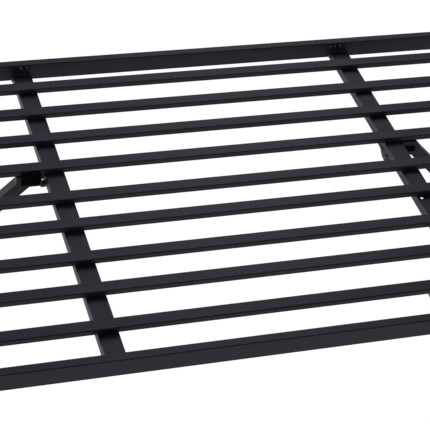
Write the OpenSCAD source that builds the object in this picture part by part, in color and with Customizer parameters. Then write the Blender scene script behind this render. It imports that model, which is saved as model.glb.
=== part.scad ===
// Folding luggage rack: a slatted steel deck on two end leg frames that fold flat under it.
// X runs along the slats, Y from front to back, Z up. The origin is on the floor, under the deck's middle.

/* [Deck] */
// Overall length of the deck, over the rail caps
deck_l = 800; // [760:10:860]
// Overall depth of the deck, over the two long rails
deck_d = 450; // [440:5:500]
// Height of the slat tops above the floor
deck_h = 405; // [400:5:412]
// Distance of each cross member from the middle
cross_x = 180; // [160:1:190]

/* [Tube sizes] */
// Width of a slat
slat_w = 13.4; // [11:0.2:14]
// Thickness of a slat
slat_t = 6; // [5:0.5:6]
// Width of a cross member
cross_w = 19.5; // [17:0.5:20]
// Thickness of a cross member
cross_t = 10; // [9:0.5:10]
// Height of a rail
rail_h = 18.8; // [18.4:0.2:20]
// Thickness of a rail
rail_t = 9.5; // [8:0.5:10]
// How far a rail stands above the slats
rail_lip = 5.7; // [4.7:0.2:6.3]
// Side of a square leg tube
leg_w = 18; // [16:0.5:18]
// Wall of every tube
wall = 1.2; // [1:0.1:1.5]

/* [Legs and stays] */
// Distance of the leg hinges from the middle
hinge_x = 385; // [380:1:386]
// Depth of the leg hinges below the slat tops
hinge_drop = 30; // [29:1:32]
// Depth of the stays' upper pivots below the slat tops
stay_drop = 14.6; // [14.6:0.1:15]
// Distance of the upper pivots from the cross members' middle planes
stay_reach = 22.2; // [21.8:0.2:23]
// Place of the stay brackets from front to back
stay_y = 55; // [50:1:60]
// Offset of each stay in its bracket, towards the bracket's closed end
stay_offset = 2.4; // [1.6:0.2:2.4]
// Width of an upper stay, from front to back
stay_w = 10; // [9:0.5:10]
// Height of an upper stay
stay_t = 13.2; // [12.2:0.2:13.2]

/* [Fasteners] */
// Radius of a leg hinge bolt
bolt_r = 3; // [2.5:0.25:3]
// Radius of a stay pin
pin_r = 2.5; // [2:0.25:2.5]
// Radial clearance of a turning pin or bolt in its hole
fit = 0.06; // [0.03:0.01:0.09]
// Gap between pieces that turn past each other
gap = 0.35; // [0.3:0.05:0.4]

/* [Hidden] */
$fn = 48;

LEFT = -1;
RIGHT = 1;
FRONT = -1;
BACK = 1;

coat = [0.20, 0.195, 0.215];
coat_dark = [0.17, 0.165, 0.18];
plastic = [0.05, 0.05, 0.055];
steel = [0.62, 0.63, 0.65];

// Deck
cap_t = 2;
rail_l = deck_l - 2 * cap_t;
rail_z = deck_h + rail_lip - rail_h / 2;
rail_y = deck_d / 2 - rail_t / 2;
rail_inner_y = deck_d / 2 - rail_t;
end_inner_x = rail_l / 2 - rail_t;
slat_bottom = deck_h - slat_t;
cross_z = slat_bottom - cross_t / 2;
cross_bottom = slat_bottom - cross_t;
corner = 1;
// Centre lines of the slats from back to front, as parts of the depth: they are spaced by eye
slat_places = [0.4135, 0.3158, 0.2180, 0.1176, 0.0114, -0.0797, -0.1840, -0.2800, -0.3858];
// Drain holes of the right cross member: a small one above, and a larger one below, further back
drain_r = 1.9;
drain_inset = 5.2;
drain_y = -45;
drain_low_r = 3.4;
drain_low_x = cross_x - drain_inset + 4.5;
drain_low_y = drain_y + 11;

// Leg hinges
hinge_z = deck_h - hinge_drop;
plate_t = 3;
plate_w = 18;
washer_t = 1;
washer_r = 7;
leg_outer_y = rail_inner_y - plate_t - washer_t - gap;
leg_y = leg_outer_y - leg_w / 2;
leg_inner_y = leg_outer_y - leg_w;
leg_over = 9;
plug_t = 2;
leg_base = 3;
leg_corner = 2.5;
head_t = 3.5;
nut_t = 5;
bolt_tail = 2;

// Leg bars and feet
bar_w = 18;
bar_t = 9.5;
foot_bar_z = 62;
foot_w = 22;
foot_h = 16;

// Stays: the upper pivot, the lug pivot and the knee lie on one line at 45 degrees
pivot_x = cross_x + stay_reach;
pivot_z = deck_h - stay_drop;
run = hinge_x - pivot_x;
lug_z = pivot_z - run;
lug_drop = hinge_z - lug_z;
// Where the lug pivot comes when the leg lies flat, seen from the upper pivot
fold_x = run - lug_drop;
fold_z = hinge_drop - stay_drop;
stay_len = run * sqrt(2);
upper_len = (stay_len * stay_len - fold_x * fold_x - fold_z * fold_z) / (2 * (stay_len - fold_x));
lower_len = stay_len - upper_len;
upper_wall = 1.2;
lower_t = 3;
lower_w = 12;
lower_inner = stay_w / 2 + gap;
lower_outer = lower_inner + lower_t;
rivet_r = 5;
rivet_t = 2;

// Lug of the stay on the leg frame
lug_w = stay_w - 0.1;
lug_t = 9;
stay_bar_z = lug_z - 40;

// Bracket of the stay: a sleeve beside the cross member, closed at one end, with a plate under the tube.
// It is drawn about stay_y with its open end forwards; the right one is turned round.
bracket_half = 10.5;
bracket_wall = 1.6;
bracket_floor = 2.6;
bracket_x0 = cross_x + 13;
bracket_x1 = cross_x + 38.5;
bracket_open_x1 = cross_x + 33.4;
bracket_top = slat_bottom;
bracket_bottom = deck_h - 18.5;
bracket_r = 2.6;
slot_y0 = stay_offset - stay_w / 2 - gap;
slot_y1 = stay_offset + stay_w / 2 + gap;
flange_t = 1.2;
pin_y0 = slot_y0 - 3;
pin_y1 = bracket_half - 1;
web_t = 3;
web_l = 18.5;
under_t = 2.5;
under_y1 = 21;
bridge_l = 5.5;
bridge_t = 4.3;
// Flange that hangs under the cross member's inner edge
flange_drop = 8.5;
flange_knee = 7.5;
flange_w = 3;
// Black pad low on the right bracket's closed end
pad_x1 = cross_x + 25;
pad_h = 6;
pad_inset = 0.4;

// ---------- shared shapes ----------

module on_side(side) {
    if (side == LEFT) mirror([1, 0, 0]) children();
    else children();
}

module flip_y(place) {
    if (place == FRONT) mirror([0, 1, 0]) children();
    else children();
}

module rounded(w, h, r) {
    square([w - 2 * r, h], center = true);
    square([w, h - 2 * r], center = true);
    for (x = [-1, 1], y = [-1, 1])
        translate([x * (w / 2 - r), y * (h / 2 - r)]) circle(r);
}

module ring(w, h, r, t) {
    difference() {
        rounded(w, h, r);
        rounded(w - 2 * t, h - 2 * t, max(r - t, 0.4));
    }
}

module along_x(l) {
    rotate([90, 0, 90]) linear_extrude(l, center = true) children();
}

module along_y(l) {
    rotate([90, 0, 0]) linear_extrude(l, center = true) children();
}

module bar_y(r, y0, y1) {
    translate([0, y1, 0]) rotate([90, 0, 0]) cylinder(r = r, h = y1 - y0);
}

module hex_y(r, y0, y1) {
    translate([0, y1, 0]) rotate([90, 0, 0]) cylinder(r = r, h = y1 - y0, $fn = 6);
}

// ---------- deck ----------

module long_rail(place) {
    color(coat) translate([0, place * rail_y, rail_z]) along_x(rail_l) ring(rail_t, rail_h, corner, wall);
}

module end_rail(side) {
    color(coat) translate([side * (rail_l / 2 - rail_t / 2), 0, rail_z])
        along_y(2 * rail_inner_y) ring(rail_t, rail_h, corner, wall);
}

module rail_caps() {
    color(plastic) for (x = [-1, 1], y = [-1, 1])
        translate([x * (rail_l / 2 + cap_t / 2), y * rail_y, rail_z]) along_x(cap_t) rounded(rail_t, rail_h, corner);
}

module slat(number) {
    color(coat) translate([0, slat_places[number - 1] * deck_d, deck_h - slat_t / 2])
        along_x(2 * end_inner_x) ring(slat_w, slat_t, corner, wall);
}

module cross_member(side) {
    color(coat_dark) difference() {
        translate([side * cross_x, 0, cross_z]) along_y(2 * rail_inner_y) ring(cross_w, cross_t, corner, wall);
        if (side == RIGHT) {
            translate([cross_x - drain_inset, drain_y, cross_z]) cylinder(r = drain_r, h = cross_t);
            translate([drain_low_x, drain_low_y, cross_z - cross_t]) cylinder(r = drain_low_r, h = cross_t);
        }
    }
}

// ---------- stay brackets ----------

// Draws a bracket's or a stay's shape in its place: x outwards, y from the bracket's middle, open end at -y
module on_bracket(side) {
    translate([0, stay_y, 0]) on_side(side) flip_y(side == LEFT ? BACK : FRONT) children();
}

module block_outline(x0, x1, z0, z1, r) {
    translate([(x0 + x1) / 2, (z0 + z1) / 2]) rounded(x1 - x0, z1 - z0, r);
}

// The left sleeve is square outside; the right one is round about the pin
module bracket_outline(side) {
    if (side == LEFT) block_outline(bracket_x0, bracket_x1, bracket_bottom, bracket_top, bracket_r);
    else {
        block_outline(bracket_x0, pivot_x + 1, bracket_bottom, bracket_top, 1);
        translate([pivot_x, pivot_z]) circle(bracket_top - pivot_z);
    }
}

module bracket_opening(side) {
    x0 = bracket_x0 + bracket_wall;
    z0 = bracket_bottom + bracket_floor;
    z1 = bracket_top - bracket_wall;
    if (side == LEFT) block_outline(x0, bracket_open_x1, z0, z1, 1);
    else {
        block_outline(x0, pivot_x, z0, z1, 0.5);
        translate([pivot_x, pivot_z]) circle(z1 - pivot_z);
    }
}

module stay_slot() {
    slot_x = pivot_x - stay_t / 2 - gap;
    slot_top = pivot_z + stay_t / 2 + gap;
    slot_h = 20;
    translate([slot_x, slot_y0, slot_top - slot_h])
        cube([bracket_x1 + 1 - slot_x, slot_y1 - slot_y0, slot_h]);
}

module sleeve(side) {
    difference() {
        along_y(2 * bracket_half) bracket_outline(side);
        translate([0, (slot_y1 - bracket_half - 1) / 2, 0])
            along_y(slot_y1 + bracket_half + 1) bracket_opening(side);
        stay_slot();
        translate([pivot_x, 0, pivot_z]) bar_y(pin_r, pin_y0, pin_y1);
    }
}

module stay_bracket(side) {
    color(coat_dark) on_bracket(side) {
        sleeve(side);
        // Web that joins the sleeve to the cross member
        translate([cross_x + cross_w / 2, bracket_half - web_l, bracket_top - web_t])
            cube([bracket_x0 + 1 - cross_x - cross_w / 2, web_l, web_t]);
        // Plate under the cross member, with a bridge to the sleeve and a hanging flange
        translate([cross_x - cross_w / 2, -bracket_half, cross_bottom - under_t])
            cube([cross_w, under_y1 + bracket_half, under_t]);
        translate([cross_x + cross_w / 2 - 1, -bracket_half, cross_bottom - bridge_t])
            cube([bracket_x0 + 2 - cross_x - cross_w / 2, bridge_l, bridge_t]);
        translate([cross_x - cross_w / 2, 0, cross_bottom]) rotate([90, 0, 90]) linear_extrude(flange_w)
            polygon([[-3, 0], [7.5, -flange_knee], [13.5, -flange_drop], [under_y1, -flange_drop], [under_y1, 0]]);
    }
}

module bracket_plug(side) {
    plug_z0 = bracket_bottom + bracket_floor;
    // The left plug's flange laps over the front of the slat above it
    plug_z1 = side == LEFT ? deck_h - 0.2 : bracket_top - bracket_wall;
    plug_x1 = side == LEFT ? bracket_open_x1 : pivot_x;
    color(plastic) on_bracket(side) {
        difference() {
            translate([0, (slot_y0 - bracket_half) / 2, 0]) along_y(bracket_half + slot_y0) bracket_opening(side);
            translate([pivot_x, 0, pivot_z]) bar_y(pin_r, pin_y0, slot_y0 + 1);
        }
        translate([0, -bracket_half - flange_t / 2, 0]) along_y(flange_t)
            block_outline(bracket_x0 + bracket_wall, plug_x1, plug_z0, plug_z1, bracket_r);
        if (side == RIGHT) {
            pad_x0 = bracket_x0 + pad_inset;
            pad_z0 = bracket_bottom + pad_inset;
            translate([0, bracket_half + flange_t / 2, 0])
                along_y(flange_t) block_outline(pad_x0, pad_x1, pad_z0, pad_z0 + pad_h, 0.5);
        }
    }
}

module pivot_pin(side) {
    color(steel) on_bracket(side) translate([pivot_x, 0, pivot_z]) bar_y(pin_r, pin_y0, pin_y1);
}

// ---------- leg hinges ----------

module hinge_plates(side) {
    color(coat_dark) on_side(side) for (place = [FRONT, BACK])
        translate([hinge_x, place * (rail_inner_y - plate_t / 2), 0]) along_y(plate_t) difference() {
            union() {
                translate([-plate_w / 2, hinge_z]) square([end_inner_x - hinge_x + plate_w / 2, rail_z - hinge_z]);
                translate([0, hinge_z]) circle(plate_w / 2);
            }
            translate([0, hinge_z]) circle(bolt_r);
        }
}

module hinge_bolts(side) {
    color(steel) on_side(side) for (place = [FRONT, BACK]) translate([hinge_x, 0, hinge_z]) flip_y(place) {
        hex_y(bolt_r * 1.85, rail_inner_y, rail_inner_y + head_t);
        bar_y(bolt_r, leg_inner_y - gap - nut_t - bolt_tail, rail_inner_y);
    }
}

module hinge_washers(side) {
    color(steel) on_side(side) for (place = [FRONT, BACK]) translate([hinge_x, 0, hinge_z]) flip_y(place)
        difference() {
            bar_y(washer_r, rail_inner_y - plate_t - washer_t, rail_inner_y - plate_t);
            bar_y(bolt_r, 0, rail_inner_y);
        }
}

module hinge_nuts(side) {
    color(steel) on_side(side) for (place = [FRONT, BACK]) translate([hinge_x, 0, hinge_z]) flip_y(place)
        difference() {
            hex_y(bolt_r * 1.85, leg_inner_y - gap - nut_t, leg_inner_y - gap);
            bar_y(bolt_r, 0, rail_inner_y);
        }
}

// ---------- leg frames ----------

module leg(side, place) {
    leg_top = hinge_z + leg_over;
    color(coat) on_side(side) translate([hinge_x, place * leg_y, 0]) difference() {
        translate([0, 0, leg_base]) linear_extrude(leg_top - leg_base) ring(leg_w, leg_w, leg_corner, wall);
        translate([0, 0, hinge_z]) bar_y(bolt_r + fit, -leg_w, leg_w);
    }
}

module leg_plugs(side) {
    color(plastic) on_side(side) for (place = [FRONT, BACK])
        translate([hinge_x, place * leg_y, hinge_z + leg_over]) linear_extrude(plug_t) rounded(leg_w, leg_w, leg_corner);
}

module cross_bar(side, z) {
    color(coat) on_side(side) translate([hinge_x, 0, z]) along_y(2 * leg_inner_y) ring(bar_t, bar_w, corner, wall);
}

module stay_lug(side) {
    lug_base = stay_bar_z + bar_w / 2;
    color(coat_dark) on_bracket(side) translate([hinge_x, stay_offset, 0]) along_y(lug_w) difference() {
        union() {
            translate([-lug_t / 2, lug_base]) square([lug_t, lug_z - lug_base]);
            translate([0, lug_z]) circle(lug_t / 2);
        }
        translate([0, lug_z]) circle(pin_r);
    }
}

module lug_pin(side) {
    pin_end = lower_outer + gap;
    color(steel) on_bracket(side) translate([hinge_x, stay_offset, lug_z]) {
        bar_y(pin_r, -pin_end, pin_end);
        for (place = [FRONT, BACK]) flip_y(place) bar_y(rivet_r, pin_end, pin_end + rivet_t);
    }
}

module feet(side) {
    color(plastic) on_side(side) for (place = [FRONT, BACK]) translate([hinge_x, place * leg_y, 0]) difference() {
        linear_extrude(foot_h) rounded(foot_w, foot_w, leg_corner + 1.5);
        translate([0, 0, leg_base]) linear_extrude(foot_h) rounded(leg_w, leg_w, leg_corner);
    }
}

// ---------- stays ----------

// Places a shape, drawn along +X from the upper pivot, on the line of the stay
module on_stay(side) {
    on_bracket(side) translate([pivot_x, stay_offset, pivot_z]) rotate([0, 45, 0]) children();
}

module link_outline(l, w) {
    translate([0, -w / 2]) square([l, w]);
    circle(w / 2);
    translate([l, 0]) circle(w / 2);
}

module upper_stay(side) {
    hollow_from = stay_t / 2 + 4;
    hollow_l = upper_len - 2 * hollow_from;
    color(coat) on_stay(side) difference() {
        along_y(stay_w) link_outline(upper_len, stay_t);
        translate([hollow_from + hollow_l / 2, 0, 0])
            along_x(hollow_l) rounded(stay_w - 2 * upper_wall, stay_t - 2 * upper_wall, 1);
        bar_y(pin_r + fit, -stay_w, stay_w);
        translate([upper_len, 0, 0]) bar_y(pin_r, -stay_w, stay_w);
    }
}

module knee_bush(side) {
    color(steel) on_stay(side) translate([upper_len, 0, 0]) bar_y(pin_r, -stay_w / 2, stay_w / 2);
}

module lower_stay(side) {
    color(coat) on_stay(side) translate([upper_len, 0, 0]) for (place = [FRONT, BACK])
        flip_y(place) translate([0, lower_inner + lower_t / 2, 0]) along_y(lower_t) difference() {
            link_outline(lower_len, lower_w);
            circle(pin_r);
            translate([lower_len, 0]) circle(pin_r + fit);
        }
}

module knee_rivets(side) {
    color(steel) on_stay(side) translate([upper_len, 0, 0]) for (place = [FRONT, BACK]) flip_y(place) {
        bar_y(pin_r, lower_inner, lower_outer);
        bar_y(rivet_r, lower_outer, lower_outer + rivet_t);
    }
}

// ---------- assembly ----------

long_rail(FRONT);  // front_rail
long_rail(BACK);  // back_rail
end_rail(LEFT);  // left_end_rail
end_rail(RIGHT);  // right_end_rail
rail_caps();
slat(1);  // slat_1
slat(2);  // slat_2
slat(3);  // slat_3
slat(4);  // slat_4
slat(5);  // slat_5
slat(6);  // slat_6
slat(7);  // slat_7
slat(8);  // slat_8
slat(9);  // slat_9
cross_member(LEFT);  // left_cross_member
cross_member(RIGHT);  // right_cross_member
stay_bracket(LEFT);  // left_stay_bracket
stay_bracket(RIGHT);  // right_stay_bracket
bracket_plug(LEFT);  // left_bracket_plug
bracket_plug(RIGHT);  // right_bracket_plug
pivot_pin(LEFT);  // left_pivot_pin
pivot_pin(RIGHT);  // right_pivot_pin
hinge_plates(LEFT);  // left_hinge_plates
hinge_plates(RIGHT);  // right_hinge_plates
hinge_bolts(LEFT);  // left_hinge_bolts
hinge_bolts(RIGHT);  // right_hinge_bolts
hinge_washers(LEFT);  // left_hinge_washers
hinge_washers(RIGHT);  // right_hinge_washers
hinge_nuts(LEFT);  // left_hinge_nuts
hinge_nuts(RIGHT);  // right_hinge_nuts
leg(LEFT, FRONT);  // left_front_leg
leg(LEFT, BACK);  // left_back_leg
cross_bar(LEFT, stay_bar_z);  // left_stay_bar
cross_bar(LEFT, foot_bar_z);  // left_foot_bar
stay_lug(LEFT);  // left_stay_lug
leg_plugs(LEFT);  // left_leg_plugs
feet(LEFT);  // left_feet
lug_pin(LEFT);  // left_lug_pin
leg(RIGHT, FRONT);  // right_front_leg
leg(RIGHT, BACK);  // right_back_leg
cross_bar(RIGHT, stay_bar_z);  // right_stay_bar
cross_bar(RIGHT, foot_bar_z);  // right_foot_bar
stay_lug(RIGHT);  // right_stay_lug
leg_plugs(RIGHT);  // right_leg_plugs
feet(RIGHT);  // right_feet
lug_pin(RIGHT);  // right_lug_pin
upper_stay(LEFT);  // left_upper_stay
knee_bush(LEFT);  // left_knee_bush
lower_stay(LEFT);  // left_lower_stay
knee_rivets(LEFT);  // left_knee_rivets
upper_stay(RIGHT);  // right_upper_stay
knee_bush(RIGHT);  // right_knee_bush
lower_stay(RIGHT);  // right_lower_stay
knee_rivets(RIGHT);  // right_knee_rivets
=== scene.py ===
"""Looks of the folding luggage rack: powder coat, welds, bolts, rivets, caps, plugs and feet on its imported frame."""

import math
import random

import bmesh
import bpy
from mathutils import Matrix, Quaternion, Vector, noise


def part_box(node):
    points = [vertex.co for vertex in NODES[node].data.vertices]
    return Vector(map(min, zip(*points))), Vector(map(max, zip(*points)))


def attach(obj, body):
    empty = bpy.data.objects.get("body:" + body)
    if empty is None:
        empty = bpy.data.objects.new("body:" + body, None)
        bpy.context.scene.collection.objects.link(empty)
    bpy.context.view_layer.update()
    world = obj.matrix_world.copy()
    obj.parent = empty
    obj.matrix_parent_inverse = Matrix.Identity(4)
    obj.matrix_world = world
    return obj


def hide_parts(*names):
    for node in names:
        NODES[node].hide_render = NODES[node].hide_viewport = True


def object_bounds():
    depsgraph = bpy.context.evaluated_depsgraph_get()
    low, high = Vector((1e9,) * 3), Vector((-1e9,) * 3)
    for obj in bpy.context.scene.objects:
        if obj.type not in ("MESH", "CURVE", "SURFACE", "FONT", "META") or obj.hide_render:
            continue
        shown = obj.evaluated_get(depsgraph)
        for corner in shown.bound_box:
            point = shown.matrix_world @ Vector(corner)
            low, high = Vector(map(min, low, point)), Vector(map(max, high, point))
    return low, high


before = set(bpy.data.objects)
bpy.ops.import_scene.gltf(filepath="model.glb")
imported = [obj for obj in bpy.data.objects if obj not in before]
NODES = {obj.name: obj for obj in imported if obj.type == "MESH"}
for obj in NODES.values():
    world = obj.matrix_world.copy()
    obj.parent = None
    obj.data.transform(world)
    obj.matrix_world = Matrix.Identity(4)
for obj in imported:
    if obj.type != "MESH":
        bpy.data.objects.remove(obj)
cad_low, cad_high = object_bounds()

MM = 0.001
SIDES = {"left": -1, "right": 1}
random.seed(7)

# ---------- where the frame's parts are ----------

def middle(node):
    low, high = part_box(node)
    return (low + high) / 2


SLATS = sorted(name for name in NODES if name.startswith("slat_"))
slat_low, slat_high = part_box(SLATS[0])
SLAT_TOP = slat_high.z
RAIL_INNER_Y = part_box("right_end_rail")[1].y
END_INNER_X = slat_high.x
cross_low, cross_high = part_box("right_cross_member")


# ---------- camera ----------

VIEW_AZIMUTH = 21.68
VIEW_ELEVATION = 39.40
VIEW_ROLL = 8.28
VIEW_DISTANCE = 1.488
LENS_MM = 130.0
SENSOR_MM = 36.0
AIM = Vector((-0.0435, -0.0457, SLAT_TOP))


def add_camera():
    azimuth = math.radians(VIEW_AZIMUTH)
    elevation = math.radians(VIEW_ELEVATION)
    forward = Vector((
        math.sin(azimuth) * math.cos(elevation),
        math.cos(azimuth) * math.cos(elevation),
        -math.sin(elevation),
    ))
    data = bpy.data.cameras.new("camera")
    data.lens = LENS_MM
    data.sensor_width = SENSOR_MM
    camera = bpy.data.objects.new("camera", data)
    bpy.context.scene.collection.objects.link(camera)
    camera.location = AIM - forward * VIEW_DISTANCE
    camera.rotation_mode = "QUATERNION"
    roll = Quaternion((0, 0, 1), math.radians(VIEW_ROLL))
    camera.rotation_quaternion = forward.to_track_quat("-Z", "Y") @ roll
    bpy.context.scene.camera = camera


# ---------- materials ----------

class Shader:
    """A node material with short helpers for its procedural detail."""

    def __init__(self, name):
        self.material = bpy.data.materials.new(name)
        self.material.use_nodes = True
        self.tree = self.material.node_tree
        self.bsdf = self.tree.nodes["Principled BSDF"]
        self.place = self.node("ShaderNodeTexCoord").outputs["Object"]

    def node(self, kind, **values):
        made = self.tree.nodes.new(kind)
        for name, value in values.items():
            if name in made.inputs:
                made.inputs[name].default_value = value
            else:
                setattr(made, name, value)
        return made

    def link(self, source, target):
        self.tree.links.new(source, target)

    def noise(self, scale, detail=3.0, stretch=(1, 1, 1)):
        placed = self.node("ShaderNodeMapping")
        placed.inputs["Scale"].default_value = stretch
        self.link(self.place, placed.inputs["Vector"])
        made = self.node("ShaderNodeTexNoise", Scale=scale, Detail=detail)
        self.link(placed.outputs["Vector"], made.inputs["Vector"])
        return made.outputs["Fac"]

    def spread(self, source, low, high, to_low=0.0, to_high=1.0):
        made = self.node("ShaderNodeMapRange")
        made.inputs["From Min"].default_value = low
        made.inputs["From Max"].default_value = high
        made.inputs["To Min"].default_value = to_low
        made.inputs["To Max"].default_value = to_high
        self.link(source, made.inputs["Value"])
        return made.outputs["Result"]

    def blend(self, factor, first, second):
        made = self.node("ShaderNodeMix", data_type="RGBA")
        self.link(factor, made.inputs[0])
        for socket, colour in ((made.inputs[6], first), (made.inputs[7], second)):
            if isinstance(colour, bpy.types.NodeSocket):
                self.link(colour, socket)
            else:
                socket.default_value = (*colour, 1)
        return made.outputs[2]

    def bump(self, height, distance, strength=1.0, under=None):
        made = self.node("ShaderNodeBump", Strength=strength, Distance=distance)
        self.link(height, made.inputs["Height"])
        if under:
            self.link(under, made.inputs["Normal"])
        return made.outputs["Normal"]

    def colour(self, source):
        self.link(source, self.bsdf.inputs["Base Color"])

    def roughness(self, source):
        self.link(source, self.bsdf.inputs["Roughness"])

    def normal(self, source):
        self.link(source, self.bsdf.inputs["Normal"])


def tint(colour, factor):
    return tuple(channel * factor for channel in colour)


COAT = (0.0112, 0.0098, 0.0190)


def powder_coat(name, colour, along):
    """Satin charcoal powder coat: orange peel, fine grit, faint flow of tone along the tube and small rubs."""
    shader = Shader(name)
    flow = [1.0, 1.0, 1.0]
    flow[along] = 0.18
    cloud = shader.spread(shader.noise(38, 3, flow), 0.35, 0.65)
    tone = shader.blend(cloud, tint(colour, 0.86), tint(colour, 1.12))
    speck = shader.spread(shader.noise(2600, 1), 0.66, 0.72)
    tone = shader.blend(speck, tone, tint(colour, 1.9))
    rub = shader.spread(shader.noise(170, 6, flow), 0.66, 0.74, 0.0, 0.55)
    tone = shader.blend(rub, tone, tint(colour, 1.7))
    shader.colour(tone)
    peel = shader.noise(620, 2)
    shader.roughness(shader.spread(peel, 0.3, 0.7, 0.40, 0.54))
    grit = shader.noise(3400, 1)
    wave = shader.bump(shader.noise(45, 2), 0.0006, 0.25)
    orange = shader.bump(peel, 0.00012, 0.55, wave)
    shader.normal(shader.bump(grit, 0.00003, 0.5, orange))
    shader.bsdf.inputs["Specular IOR Level"].default_value = 0.17
    return shader.material


def moulded_plastic(name, colour):
    """Injection-moulded black plastic: spark-eroded grain, duller in patches."""
    shader = Shader(name)
    cloud = shader.spread(shader.noise(90, 2), 0.35, 0.65)
    shader.colour(shader.blend(cloud, tint(colour, 0.8), tint(colour, 1.25)))
    grain = shader.noise(2400, 2)
    shader.roughness(shader.spread(cloud, 0, 1, 0.48, 0.62))
    shader.normal(shader.bump(grain, 0.00006, 0.7))
    return shader.material


def plug_black_and_painted_shade(name, colour):
    """Matt black plastic that gives back almost no light, with a faint grain; this near-zero colour is partly painted
    shade in the brackets' open ends, and on the right plug's thin pad it is painted shade.
    """
    shader = Shader(name)
    grain = shader.noise(1800, 2)
    shader.colour(shader.blend(shader.spread(grain, 0.35, 0.65), tint(colour, 0.6), tint(colour, 1.5)))
    shader.roughness(shader.spread(grain, 0.3, 0.7, 0.8, 0.95))
    shader.normal(shader.bump(grain, 0.00005, 0.5))
    shader.bsdf.inputs["Specular IOR Level"].default_value = 0.03
    return shader.material


def foot_rubber(name, colour):
    """Black rubber with dust caught in its pores."""
    shader = Shader(name)
    pores = shader.noise(1500, 4)
    dust = shader.spread(shader.noise(60, 5), 0.52, 0.75, 0.0, 0.5)
    shader.colour(shader.blend(dust, colour, tint(colour, 3.2)))
    shader.roughness(shader.spread(pores, 0.3, 0.7, 0.72, 0.88))
    shader.normal(shader.bump(pores, 0.00012, 0.6))
    return shader.material


def plated_steel(name, colour):
    """Zinc-plated steel, faintly mottled, with fine turning marks."""
    shader = Shader(name)
    mottle = shader.spread(shader.noise(420, 4), 0.35, 0.65)
    tone = shader.blend(mottle, tint(colour, 0.72), tint(colour, 1.1))
    dull = shader.spread(shader.noise(150, 3), 0.55, 0.7, 0.0, 0.6)
    shader.colour(shader.blend(dull, tone, tint(colour, 0.35)))
    marks = shader.noise(2500, 2, (1, 0.15, 1))
    shader.roughness(shader.spread(marks, 0.3, 0.7, 0.28, 0.48))
    shader.normal(shader.bump(marks, 0.00002, 0.5))
    shader.bsdf.inputs["Metallic"].default_value = 1.0
    return shader.material


def weld_coat(name, colour):
    """The same coat over weld metal: smoother and a little glossier, so the ripples catch the light."""
    shader = Shader(name)
    cloud = shader.spread(shader.noise(300, 3), 0.35, 0.65)
    shader.colour(shader.blend(cloud, tint(colour, 0.9), tint(colour, 1.35)))
    peel = shader.noise(1500, 2)
    shader.roughness(shader.spread(peel, 0.3, 0.7, 0.30, 0.44))
    shader.normal(shader.bump(peel, 0.00005, 0.5))
    shader.bsdf.inputs["Specular IOR Level"].default_value = 0.25
    return shader.material


ALONG_X = powder_coat("coat_along_x", COAT, 0)
ALONG_Y = powder_coat("coat_along_y", tint(COAT, 0.92), 1)
ALONG_Z = powder_coat("coat_along_z", COAT, 2)
# The brackets, hinge plates and lugs use the tubes' coat at 0.42 of its colour. This darker copy is painted shade, so
# they come out as dark as shaded parts.
SHADED_BRACKET_COAT = powder_coat("coat_bracket_painted_shade", tint(COAT, 0.42), 1)
WELD_COAT = weld_coat("coat_weld", tint(COAT, 1.1))
# The weld drops get a colour about seven times lighter than the coat. This is painted highlight, standing for the
# light that the drops catch.
DROP_HIGHLIGHT_COAT = weld_coat("coat_drops_painted_highlight", (0.080, 0.076, 0.115))
PLASTIC = moulded_plastic("black_plastic", (0.008, 0.008, 0.009))
# The bracket plugs' near-zero colour is partly painted shade: it makes them as black as the shade in an open tube end,
# and the thin pad on the right plug is painted shade.
PLUG_BLACK_AND_SHADE = plug_black_and_painted_shade("plug_black_and_painted_shade", (0.0010, 0.0010, 0.0010))
RUBBER = foot_rubber("foot_rubber", (0.012, 0.012, 0.012))
STEEL = plated_steel("plated_steel", (0.42, 0.42, 0.44))

MATERIAL_OF = (
    ("slat", ALONG_X),
    ("front_rail", ALONG_X),
    ("back_rail", ALONG_X),
    ("end_rail", ALONG_Y),
    ("cross_member", ALONG_Y),
    ("_bar", ALONG_Y),
    ("_stay_bracket", SHADED_BRACKET_COAT),
    ("_hinge_plates", SHADED_BRACKET_COAT),
    ("_stay_lug", SHADED_BRACKET_COAT),
    ("front_leg", ALONG_Z),
    ("back_leg", ALONG_Z),
    ("upper_stay", ALONG_Z),
    ("lower_stay", ALONG_Z),
    # Near black on the bracket plugs: partly painted shade in their openings, and painted shade on the right plug's
    # pad.
    ("bracket_plug", PLUG_BLACK_AND_SHADE),
    ("caps", PLASTIC),
    ("plug", PLASTIC),
    ("feet", RUBBER),
    ("", STEEL),
)


def paint(piece, material):
    piece.data.materials.clear()
    piece.data.materials.append(material)


def paint_frame():
    for name, piece in NODES.items():
        material = next(found for part, found in MATERIAL_OF if part in name)
        paint(piece, material)


# ---------- mesh helpers ----------

def add_piece(name, mesh, body, material, smooth=True):
    data = bpy.data.meshes.new(name)
    bmesh.ops.recalc_face_normals(mesh, faces=mesh.faces)
    mesh.to_mesh(data)
    mesh.free()
    piece = bpy.data.objects.new(name, data)
    bpy.context.scene.collection.objects.link(piece)
    for polygon in data.polygons:
        polygon.use_smooth = smooth
    paint(piece, material)
    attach(piece, body)
    return piece


def bridge(mesh, rings):
    """Skins a list of rings of points, each as long as the first, and closes both ends."""
    made = [[mesh.verts.new(point) for point in ring] for ring in rings]
    count = len(made[0])
    for low, high in zip(made, made[1:]):
        for i in range(count):
            j = (i + 1) % count
            mesh.faces.new((low[i], low[j], high[j], high[i]))
    mesh.faces.new(made[0][::-1])
    mesh.faces.new(made[-1])


def rounded_outline(width, depth, radius, steps=5):
    """Points of a rectangle with round corners, about the origin."""
    points = []
    for quarter in range(4):
        turn = quarter * math.pi / 2
        sign_x = 1 if quarter in (0, 3) else -1
        sign_y = 1 if quarter in (0, 1) else -1
        centre = (sign_x * (width / 2 - radius), sign_y * (depth / 2 - radius))
        for step in range(steps + 1):
            angle = turn + step / steps * math.pi / 2
            points.append((centre[0] + radius * math.cos(angle), centre[1] + radius * math.sin(angle)))
    return points


# ---------- welds ----------

WELD_SIDES = 10
RIPPLE = 1.5 * MM
RINGS_PER_RIPPLE = 5
BEAD_INSET = 1.8 * MM


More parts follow.
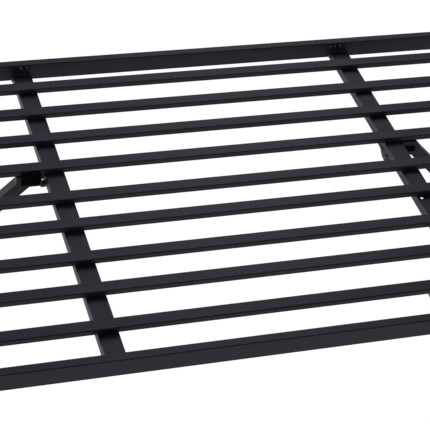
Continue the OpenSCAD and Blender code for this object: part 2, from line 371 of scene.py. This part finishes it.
def weld_bead(mesh, start, end, radius):
    """A rippled bead from start to end, half sunk into the tubes that it joins."""
    start = Vector(start)
    end = Vector(end)
    along = end - start
    length = along.length
    along.normalize()
    side = along.orthogonal().normalized()
    up = along.cross(side)
    count = max(6, int(length / RIPPLE * RINGS_PER_RIPPLE))
    wander = random.uniform(0, 50)
    rings = []
    for i in range(count + 1):
        part = i / count
        phase = part * length / RIPPLE
        crest = 0.84 + 0.16 * abs(math.cos(math.pi * phase)) ** 0.7
        taper = min(1.0, 0.25 + 3.2 * min(part, 1 - part) * length / (4 * radius))
        swell = 1 + 0.14 * noise.noise((wander + part * length / (4 * MM), 0.0, 0.0))
        size = radius * crest * taper * swell
        offset = side * (0.12 * radius * noise.noise((0.0, wander + part * length / (5 * MM), 0.0)))
        centre = start + along * (part * length) + offset
        ring = []
        for k in range(WELD_SIDES):
            angle = 2 * math.pi * k / WELD_SIDES
            lag = along * (0.35 * RIPPLE * math.cos(angle) ** 2 * taper)
            ring.append(centre + side * (size * math.cos(angle)) + up * (size * math.sin(angle)) + lag)
        rings.append(ring)
    bridge(mesh, rings)


def spatter(mesh, place, radius):
    """A small round drop of weld metal."""
    made = bmesh.ops.create_icosphere(mesh, subdivisions=2, radius=radius)
    for vert in made["verts"]:
        vert.co = vert.co * random.uniform(0.9, 1.1) + Vector(place)


# Weld drops on a rail above a cross member: place across it, from -1 to 1, height above its top and radius in mm
DROPS = {
    "left": ((-0.20, 9.4, 1.2), (-0.08, 7.4, 1.2), (0.48, 8.3, 0.9)),
    "right": ((-1.20, 7.4, 1.2), (-0.62, 7.7, 1.0), (-0.04, 8.3, 1.4)),
}


def cross_member_welds():
    """Beads round the ends of the cross members, with a few drops on the rail above them."""
    mesh = bmesh.new()
    drops = bmesh.new()
    half = (cross_high.x - cross_low.x) / 2
    radius = 1.7 * MM
    for side_name, side in SIDES.items():
        x = side * middle("right_cross_member").x
        for end in (-1, 1):
            y = end * (RAIL_INNER_Y - 0.2 * MM)
            weld_bead(mesh, (x - half + MM, y, cross_high.z), (x + half - MM, y, cross_high.z), radius)
            weld_bead(mesh, (x + half - MM, y, cross_low.z), (x - half + MM, y, cross_low.z), radius)
            for edge in (-1, 1):
                low = (x + edge * half, y, cross_low.z + MM)
                high = (x + edge * half, y, cross_high.z - MM)
                weld_bead(mesh, low, high, 0.8 * radius)
            for across, rise, size in DROPS[side_name]:
                spatter(drops, (x + across * half, y, cross_high.z + rise * MM), size * MM)
    add_piece("cross_member_welds", mesh, "deck", WELD_COAT)
    add_piece("weld_drops", drops, "deck", DROP_HIGHLIGHT_COAT)


def slat_welds():
    """Each slat is welded to the end rails and to the corners of the cross members below it."""
    mesh = bmesh.new()
    cross_half = (cross_high.x - cross_low.x) / 2
    cross_middle = middle("right_cross_member").x
    for name in SLATS:
        low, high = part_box(name)
        for side in SIDES.values():
            x = side * END_INNER_X
            for z in (low.z, high.z):
                weld_bead(mesh, (x, low.y + BEAD_INSET, z), (x, high.y - BEAD_INSET, z), 1.1 * MM)
            for edge in (-1, 1):
                x = side * cross_middle + edge * (cross_half - 0.4 * MM)
                start = (x, low.y + 2 * BEAD_INSET, low.z)
                weld_bead(mesh, start, (x, high.y - BEAD_INSET, low.z), 1.2 * MM)
    add_piece("slat_welds", mesh, "deck", WELD_COAT)


def corner_welds():
    """Upright beads where the end rails meet the long rails, and beads along the hinge plates."""
    mesh = bmesh.new()
    rail_low, rail_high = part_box("right_end_rail")
    plate_low, plate_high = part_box("right_hinge_plates")
    inset = 1.6 * MM
    for side in SIDES.values():
        for end in (-1, 1):
            y = end * RAIL_INNER_Y
            for x in (side * rail_low.x, side * (rail_high.x - 0.4 * MM)):
                weld_bead(mesh, (x, y, rail_low.z + inset), (x, y, rail_high.z - inset), 1.2 * MM)
            start = (side * (plate_low.x + 1.5 * MM), y, rail_low.z)
            weld_bead(mesh, start, (side * (rail_low.x - 2 * MM), y, rail_low.z), 1.3 * MM)
            x = side * plate_low.x
            y -= end * MM
            weld_bead(mesh, (x, y, rail_low.z + 2 * MM), (x, y, plate_high.z - MM), 1.1 * MM)
    add_piece("corner_welds", mesh, "deck", WELD_COAT)


# Half the length of a stay bracket's sleeve, about the middle that it is drawn from
BRACKET_HALF = 10.5 * MM


def bracket_y(side_name, along):
    """Y of a place on a stay bracket, from its middle towards its closed end."""
    low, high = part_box(f"{side_name}_stay_bracket")
    if side_name == "left":
        return low.y + BRACKET_HALF + along
    return high.y - BRACKET_HALF - along


def bracket_welds():
    """Short beads that hold the stay brackets' plates to the cross members' lower edges."""
    mesh = bmesh.new()
    for side_name, side in SIDES.items():
        for x, start, end, radius in (
            (cross_low.x, -1.5 * MM, 7 * MM, 1.5 * MM),
            (cross_low.x, 15 * MM, 20 * MM, 1.2 * MM),
            (cross_high.x, -4 * MM, 4 * MM, 1.2 * MM),
        ):
            y_start = bracket_y(side_name, start)
            y_end = bracket_y(side_name, end)
            weld_bead(mesh, (side * x, y_start, cross_low.z), (side * x, y_end, cross_low.z), radius)
    add_piece("bracket_welds", mesh, "deck", WELD_COAT)


def leg_welds(side_name, side):
    """Beads round the ends of both bars, and round the foot of the stay's lug."""
    mesh = bmesh.new()
    for bar in ("stay_bar", "foot_bar"):
        low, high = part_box(f"{side_name}_{bar}")
        for end, y in ((-1, low.y), (1, high.y)):
            y -= end * 0.2 * MM
            for z in (low.z, high.z):
                weld_bead(mesh, (low.x + BEAD_INSET, y, z), (high.x - BEAD_INSET, y, z), 1.2 * MM)
            for x in (low.x, high.x):
                weld_bead(mesh, (x, y, low.z + BEAD_INSET), (x, y, high.z - BEAD_INSET), 1.2 * MM)
    lug_low, lug_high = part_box(f"{side_name}_stay_lug")
    for x in (lug_low.x, lug_high.x):
        weld_bead(mesh, (x, lug_low.y + MM, lug_low.z), (x, lug_high.y - MM, lug_low.z), 1.3 * MM)
    for y in (lug_low.y, lug_high.y):
        weld_bead(mesh, (lug_low.x + MM, y, lug_low.z), (lug_high.x - MM, y, lug_low.z), 1.2 * MM)
    add_piece(f"{side_name}_leg_welds", mesh, f"{side_name}_leg_frame", WELD_COAT)


# ---------- bolts, nuts and rivets ----------

BOLT_RADIUS = 3 * MM
NUT_T = 5 * MM
WASHER_T = 1.0 * MM
WASHER_RADIUS = 7 * MM
THREAD_PITCH = 1.0 * MM
THREAD_DEPTH = 0.35 * MM
THREAD_L = 7 * MM
PIN_RADIUS = 2.5 * MM
PIN_HEAD_T = 2 * MM
PLATE_T = 3 * MM
ROUND = 32


def turned(mesh, profile, place, axis_sign, sides=ROUND):
    """Turns a profile of (distance along Y, radius) about a line through place, towards axis_sign * Y."""
    rings = []
    for along, radius in profile:
        ring = []
        for k in range(sides):
            angle = 2 * math.pi * k / sides
            ring.append(Vector(place) + Vector((
                radius * math.cos(angle),
                axis_sign * along,
                radius * math.sin(angle),
            )))
        rings.append(ring)
    bridge(mesh, rings)


def hexagon(mesh, start, height, across, place, axis_sign, dish=0.0):
    """A six-sided head or nut with the round chamfer that turning leaves on its corners."""
    corner = across / math.cos(math.pi / 6)
    sides = 48
    steps = 6
    rings = []
    for level in (i / steps for i in range(steps + 1)):
        limit = corner * (1 - 0.13 * max(0.0, (level - 0.7) / 0.3) ** 1.4)
        ring = []
        for k in range(sides):
            angle = 2 * math.pi * k / sides
            local = (angle + math.pi / 6) % (math.pi / 3) - math.pi / 6
            radius = min(across / math.cos(local), limit)
            ring.append(Vector(place) + Vector((
                radius * math.cos(angle),
                axis_sign * (start + level * height),
                radius * math.sin(angle),
            )))
        rings.append(ring)
    face = []
    for part in (0.8, 0.4):
        for k in range(sides):
            angle = 2 * math.pi * k / sides
            face.append(Vector(place) + Vector((
                part * across * math.cos(angle),
                axis_sign * (start + height - dish * (1 - part)),
                part * across * math.sin(angle),
            )))
    rings.append(face[:sides])
    rings.append(face[sides:])
    bridge(mesh, rings)


def thread(mesh, start, length, radius, place, axis_sign):
    """A threaded end: the radius follows the pitch as it goes round."""
    rings = []
    per_turn = 8
    count = int(length / THREAD_PITCH * per_turn)
    for i in range(count + 1):
        along = length * i / count
        ring = []
        for k in range(ROUND):
            turn = k / ROUND
            phase = (along / THREAD_PITCH + turn) % 1.0
            depth = THREAD_DEPTH * (1 - abs(2 * phase - 1))
            end_taper = 0.6 * MM * max(0.0, 1 - (length - along) / (0.8 * MM))
            size = radius - depth - end_taper
            angle = 2 * math.pi * turn
            ring.append(Vector(place) + Vector((
                size * math.cos(angle),
                axis_sign * (start + along),
                size * math.sin(angle),
            )))
        rings.append(ring)
    bridge(mesh, rings)


def hinge_bolts(side_name):
    """Bolt, nut and washer sets of one leg frame's two hinges, standing for the plain ones."""
    bolts = bmesh.new()
    nuts = bmesh.new()
    washers = bmesh.new()
    centre = middle(f"{side_name}_hinge_washers")
    bolt_low, bolt_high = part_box(f"{side_name}_hinge_bolts")
    nut_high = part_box(f"{side_name}_hinge_nuts")[1]
    washer_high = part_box(f"{side_name}_hinge_washers")[1]
    across = (bolt_high.z - bolt_low.z) / 2
    place = (centre.x, 0, centre.z)
    head_t = bolt_high.y - RAIL_INNER_Y
    for end in (-1, 1):
        hexagon(bolts, RAIL_INNER_Y, head_t, across, place, end, 0.3 * MM)
        turned(bolts, ((nut_high.y, BOLT_RADIUS), (RAIL_INNER_Y, BOLT_RADIUS)), place, end)
        # The thread runs inwards, so it is drawn towards the middle
        outer = (centre.x, end * nut_high.y, centre.z)
        thread(bolts, 0, THREAD_L, BOLT_RADIUS, outer, -end)
        hexagon(nuts, 0, NUT_T, across, outer, -end, 0.2 * MM)
        rim = 0.25 * MM
        disc = (
            (washer_high.y - WASHER_T, WASHER_RADIUS - rim),
            (washer_high.y - WASHER_T + rim, WASHER_RADIUS),
            (washer_high.y - rim, WASHER_RADIUS),
            (washer_high.y, WASHER_RADIUS - rim),
        )
        turned(washers, disc, place, end)
    for mesh, kind in ((bolts, "hinge_bolts"), (nuts, "hinge_nuts"), (washers, "hinge_washers")):
        node = f"{side_name}_{kind}"
        piece = add_piece(f"{node}_detail", mesh, "deck", STEEL)
        sharpen(piece)
        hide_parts(node)


def rivet_profile(start, inner_radius, head_radius, head_t):
    """A pan-headed rivet's profile from its shank to the middle of its head."""
    steps = 6
    profile = [(start, head_radius)]
    for i in range(steps + 1):
        angle = i / steps * math.pi / 2
        along = start + head_t * (0.35 + 0.65 * math.sin(angle))
        radius = head_radius * (0.45 + 0.55 * math.cos(angle))
        profile.append((along, radius))
    profile.append((start + head_t * 0.9, inner_radius * 0.5))
    return profile


def knee_rivets(side_name):
    """Pan heads on the lower stay's plates at the knee."""
    node = f"{side_name}_knee_rivets"
    low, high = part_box(node)
    centre = middle(node)
    plate_low, plate_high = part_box(f"{side_name}_lower_stay")
    mesh = bmesh.new()
    outer = (plate_high.y - plate_low.y) / 2
    for end in (-1, 1):
        profile = [(outer - PLATE_T, PIN_RADIUS), (outer, PIN_RADIUS)]
        profile += rivet_profile(outer, PIN_RADIUS, (high.x - low.x) / 2, high.y - plate_high.y)
        turned(mesh, profile, centre, end)
    piece = add_piece(f"{node}_detail", mesh, f"{side_name}_lower_link", STEEL)
    sharpen(piece)
    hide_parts(node)


def lug_pin(side_name):
    """The pin through the lug, with a pan head at each end."""
    node = f"{side_name}_lug_pin"
    low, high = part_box(node)
    centre = middle(node)
    mesh = bmesh.new()
    half = (high.y - low.y) / 2 - PIN_HEAD_T
    turned(mesh, ((-half, PIN_RADIUS), (half, PIN_RADIUS)), centre, 1)
    for end in (-1, 1):
        turned(mesh, rivet_profile(half, PIN_RADIUS, (high.x - low.x) / 2, PIN_HEAD_T), centre, end)
    piece = add_piece(f"{node}_detail", mesh, f"{side_name}_leg_frame", STEEL)
    sharpen(piece)
    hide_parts(node)


def sharpen(piece, angle=35):
    """Keeps real corners crisp on a smooth-shaded piece."""
    mesh = bmesh.new()
    mesh.from_mesh(piece.data)
    limit = math.radians(angle)
    for edge in mesh.edges:
        if len(edge.link_faces) == 2 and edge.calc_face_angle() > limit:
            edge.smooth = False
    mesh.to_mesh(piece.data)
    mesh.free()


# ---------- caps, plugs and feet ----------

def domed_block(mesh, place, axes, width, depth, base, top, radius, crown=1.0 * MM):
    """A moulded block with round corners, from base to top along axes[2], with a soft edge and a low crown."""
    across, up, out = axes
    edge = 0.8 * MM
    profile = [(0.0, base), (0.0, top - edge)]
    for i in range(1, 5):
        angle = i / 4 * math.pi / 2
        profile.append((edge * (1 - math.cos(angle)), top - edge + edge * math.sin(angle) * 0.8))
    profile.append((edge + crown, top))
    rings = []
    for inset, height in profile:
        corner = max(radius - inset, 0.25 * MM)
        outline = rounded_outline(width - 2 * inset, depth - 2 * inset, corner)
        rings.append([Vector(place) + across * a + up * b + out * height for a, b in outline])
    bridge(mesh, rings)


def rail_caps():
    """Moulded caps in the open ends of the long rails."""
    mesh = bmesh.new()
    low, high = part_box("rail_caps")
    rail_low, rail_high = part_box("front_rail")
    width = rail_high.y - rail_low.y
    height = rail_high.z - rail_low.z
    for side in (-1, 1):
        for end in (-1, 1):
            place = Vector((0, end * abs(middle("front_rail").y), (low.z + high.z) / 2))
            axes = (Vector((0, 1, 0)), Vector((0, 0, 1)), Vector((side, 0, 0)))
            domed_block(mesh, place, axes, width, height, rail_high.x, high.x, 1.0 * MM)
    piece = add_piece("rail_caps_detail", mesh, "deck", PLASTIC)
    sharpen(piece, 50)
    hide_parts("rail_caps")


def leg_plugs(side_name):
    """Domed plugs in the tops of the legs."""
    node = f"{side_name}_leg_plugs"
    low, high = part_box(node)
    mesh = bmesh.new()
    width = high.x - low.x
    axes = (Vector((1, 0, 0)), Vector((0, 1, 0)), Vector((0, 0, 1)))
    for end in (-1, 1):
        place = Vector(((low.x + high.x) / 2, end * (high.y - width / 2), 0))
        domed_block(mesh, place, axes, width, width, low.z, high.z, 2.5 * MM)
    piece = add_piece(f"{node}_detail", mesh, f"{side_name}_leg_frame", PLASTIC)
    sharpen(piece, 50)
    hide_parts(node)


# The feet's grip ribs, their pitch in mm, and the radius of the feet's upright corners in mm
GRIP_RIBS = 3
RIB_PITCH = 2.6
FOOT_CORNER = 4.0


def feet(side_name):
    """Rubber feet: a sleeve with three grip ribs, a rolled top edge and a grooved sole."""
    node = f"{side_name}_feet"
    low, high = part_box(node)
    leg_low, leg_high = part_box(f"{side_name}_front_leg")
    foot_w = high.x - low.x
    leg_w = leg_high.x - leg_low.x
    mesh = bmesh.new()
    top = (high.z - low.z) / MM
    # Each step of the skin in mm: (how far in from the widest outline, height)
    profile = [
        (4.0, 0.0), (3.0, 0.0), (2.6, 0.7), (2.1, 0.7), (1.7, 0.0), (0.7, 0.0),
        (0.15, 0.5), (0.0, 1.2), (0.0, 3.4),
    ]
    for rib in range(GRIP_RIBS):
        base = 4.6 + rib * RIB_PITCH
        profile += [(0.55, base), (0.55, base + 0.9), (0.15, base + 1.3), (0.15, base + 2.1)]
    profile += [(0.0, 13.4), (0.0, top - 0.8), (0.35, top - 0.2), (0.9, top)]
    profile += [(1.4, top - 0.2), (foot_w / 2 / MM - leg_w / 2 / MM - 0.02, top - 0.8)]
    for end in (-1, 1):
        centre = Vector(((low.x + high.x) / 2, end * (high.y - foot_w / 2), low.z))
        rings = []
        for inset, z in profile:
            corner = max(FOOT_CORNER - inset, 1.2) * MM
            outline = rounded_outline(foot_w - 2 * inset * MM, foot_w - 2 * inset * MM, corner)
            rings.append([centre + Vector((a, b, z * MM)) for a, b in outline])
        bridge(mesh, rings)
    piece = add_piece(f"{node}_detail", mesh, f"{side_name}_leg_frame", RUBBER)
    sharpen(piece, 50)
    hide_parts(node)


# ---------- floor and light ----------

FLOOR_HALF = 40.0


def add_floor():
    """A plain white floor that glows a little, as a studio sweep does."""
    mesh = bmesh.new()
    bmesh.ops.create_grid(mesh, x_segments=1, y_segments=1, size=FLOOR_HALF)
    data = bpy.data.meshes.new("floor")
    mesh.to_mesh(data)
    mesh.free()
    floor = bpy.data.objects.new("floor", data)
    bpy.context.scene.collection.objects.link(floor)
    floor.location.z = cad_low.z
    shader = Shader("floor_white")
    shader.bsdf.inputs["Base Color"].default_value = (0.05, 0.05, 0.05, 1)
    shader.bsdf.inputs["Roughness"].default_value = 0.9
    shader.bsdf.inputs["Emission Color"].default_value = (1, 1, 1, 1)
    shader.bsdf.inputs["Emission Strength"].default_value = 0.97
    paint(floor, shader.material)


COOL = (0.95, 0.93, 1.0)
# Name, place, size in metres and power in watts; all aim at the deck
LIGHTS = (
    ("key", (0.5, 1.2, 1.6), 0.8, 6.0),
    ("side", (-1.5, 1.35, 1.15), 0.7, 48),
    ("fill", (0.9, -2.2, 1.4), 1.4, 2),
)


def add_light(name, place, aim, size, power):
    data = bpy.data.lights.new(name, "AREA")
    data.shape = "DISK"
    data.size = size
    data.energy = power
    data.color = COOL
    light = bpy.data.objects.new(name, data)
    bpy.context.scene.collection.objects.link(light)
    light.location = place
    light.rotation_euler = (Vector(aim) - Vector(place)).to_track_quat("-Z", "Y").to_euler()


def add_lights():
    deck = (0, 0, SLAT_TOP)
    for name, place, size, power in LIGHTS:
        add_light(name, place, deck, size, power)
    world = bpy.data.worlds.new("studio")
    bpy.context.scene.world = world
    world.use_nodes = True
    background = world.node_tree.nodes["Background"]
    background.inputs["Color"].default_value = (*COOL, 1)
    background.inputs["Strength"].default_value = 0.3


# ---------- assembly ----------

add_camera()
bpy.context.scene.view_settings.view_transform = "Standard"
paint_frame()
cross_member_welds()
slat_welds()
corner_welds()
bracket_welds()
rail_caps()
for side_name, side in SIDES.items():
    leg_welds(side_name, side)
    hinge_bolts(side_name)
    knee_rivets(side_name)
    lug_pin(side_name)
    leg_plugs(side_name)
    feet(side_name)
add_floor()
add_lights()
